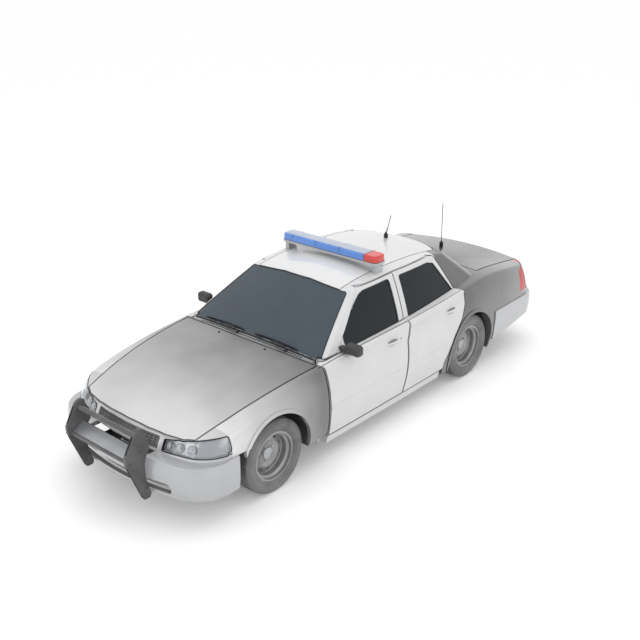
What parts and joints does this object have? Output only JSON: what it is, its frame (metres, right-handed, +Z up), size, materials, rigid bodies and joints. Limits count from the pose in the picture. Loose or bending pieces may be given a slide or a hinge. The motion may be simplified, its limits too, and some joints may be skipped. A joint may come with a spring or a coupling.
{
  "type": "police patrol car",
  "caption": "Four-door saloon patrol car on a ladder chassis with a push bar, roof light bar, steel wheels, opening doors, hood and boot lid",
  "frame": {"origin": "On the ground, under the middle of the car's overall length and width", "axes": "+X points to the nose, +Y to the car's left, +Z up"},
  "size_m": [5.4988, 2.124, 1.6515],
  "materials": {
    "beacon_red": null,
    "black_plastic": null,
    "black_steel": null,
    "blue_lens": null,
    "clear_lens": null,
    "dark_paint": null,
    "grey_paint": null,
    "grille_plastic": null,
    "light_paint": null,
    "raw_steel": null,
    "red_lens": null,
    "seat_fabric": null,
    "silver_bumper": null,
    "tyre_rubber": null,
    "wheel_steel": null,
    "window_glass": null
  },
  "bodies": {
    "body": {"chassis_frame": "black_steel", "floor_pan": "black_steel", "parcel_shelf": "black_plastic", "side_frame_left": "light_paint", "side_frame_right": "light_paint", "roof_panel": "light_paint", "front_wings": "grey_paint", "quarter_panel_left": "dark_paint", "quarter_panel_right": "dark_paint", "nose_panel": "grey_paint", "tail_panel": "dark_paint", "front_bumper": "silver_bumper", "rear_bumper": "silver_bumper", "grille": "grille_plastic", "head_lamps": "clear_lens", "tail_lamps": "red_lens", "screens": "window_glass", "cowl": "black_plastic", "wheelhouses": "black_plastic", "light_bar": "black_plastic", "light_bar_blue": "blue_lens", "light_bar_red": "beacon_red", "push_bar": "black_steel", "roof_aerial": "black_plastic", "front_suspension": "raw_steel", "rear_axle": "raw_steel", "engine_block": "raw_steel", "exhaust": "raw_steel", "dashboard": "black_plastic", "steering_wheel": "black_plastic", "front_seats": "seat_fabric", "rear_seat": "seat_fabric"},
    "hood": {"hood": "grey_paint"},
    "boot": {"boot_lid": "dark_paint", "deck_aerial": "black_plastic"},
    "front_door_left": {"front_door_left": "light_paint", "front_door_glass_left": "window_glass", "mirror_left": "black_plastic"},
    "rear_door_left": {"rear_door_left": "light_paint", "rear_door_glass_left": "window_glass"},
    "knuckle_left": {"knuckle_left": "raw_steel"},
    "wheel_front_left": {"wheel_front_left": "wheel_steel", "tyre_front_left": "tyre_rubber"},
    "wheel_rear_left": {"wheel_rear_left": "wheel_steel", "tyre_rear_left": "tyre_rubber"},
    "front_door_right": {"front_door_right": "light_paint", "front_door_glass_right": "window_glass", "mirror_right": "black_plastic"},
    "rear_door_right": {"rear_door_right": "light_paint", "rear_door_glass_right": "window_glass"},
    "knuckle_right": {"knuckle_right": "raw_steel"},
    "wheel_front_right": {"wheel_front_right": "wheel_steel", "tyre_front_right": "tyre_rubber"},
    "wheel_rear_right": {"wheel_rear_right": "wheel_steel", "tyre_rear_right": "tyre_rubber"}
  },
  "joints": [
    {"name": "front_door_left_hinge", "type": "hinge", "parent": "body", "child": "front_door_left", "pos_m": [0.943, 0.9735, 0.6], "axis": [0, 0, -1], "range_deg": [0, 65]},
    {"name": "rear_door_left_hinge", "type": "hinge", "parent": "body", "child": "rear_door_left", "pos_m": [-0.152, 0.978, 0.6], "axis": [0, 0, -1], "range_deg": [0, 65]},
    {"name": "steer_left", "type": "hinge", "parent": "body", "child": "knuckle_left", "pos_m": [1.595, 0.734, 0.345], "axis": [0, 0, 1], "range_deg": [-32, 32]},
    {"name": "wheel_front_left_spin", "type": "hinge", "parent": "knuckle_left", "child": "wheel_front_left", "pos_m": [1.595, 0.806, 0.345], "axis": [0, 1, 0], "continuous": true},
    {"name": "wheel_rear_left_spin", "type": "hinge", "parent": "body", "child": "wheel_rear_left", "pos_m": [-1.318, 0.82, 0.345], "axis": [0, 1, 0], "continuous": true},
    {"name": "front_door_right_hinge", "type": "hinge", "parent": "body", "child": "front_door_right", "pos_m": [0.943, -0.9735, 0.6], "axis": [0, 0, 1], "range_deg": [0, 65]},
    {"name": "rear_door_right_hinge", "type": "hinge", "parent": "body", "child": "rear_door_right", "pos_m": [-0.152, -0.978, 0.6], "axis": [0, 0, 1], "range_deg": [0, 65]},
    {"name": "steer_right", "type": "hinge", "parent": "body", "child": "knuckle_right", "pos_m": [1.595, -0.734, 0.345], "axis": [0, 0, 1], "range_deg": [-32, 32]},
    {"name": "wheel_front_right_spin", "type": "hinge", "parent": "knuckle_right", "child": "wheel_front_right", "pos_m": [1.595, -0.806, 0.345], "axis": [0, 1, 0], "continuous": true},
    {"name": "wheel_rear_right_spin", "type": "hinge", "parent": "body", "child": "wheel_rear_right", "pos_m": [-1.318, -0.82, 0.345], "axis": [0, 1, 0], "continuous": true},
    {"name": "hood_hinge", "type": "hinge", "parent": "body", "child": "hood", "pos_m": [0.989, 0, 0.995], "axis": [0, -1, 0], "range_deg": [0, 50]},
    {"name": "boot_hinge", "type": "hinge", "parent": "body", "child": "boot", "pos_m": [-1.739, 0, 1.066], "axis": [0, 1, 0], "range_deg": [0, 72]}
  ],
  "couplings": [
    {"joint": "steer_right", "follows": "steer_left", "ratio": 1}
  ]
}
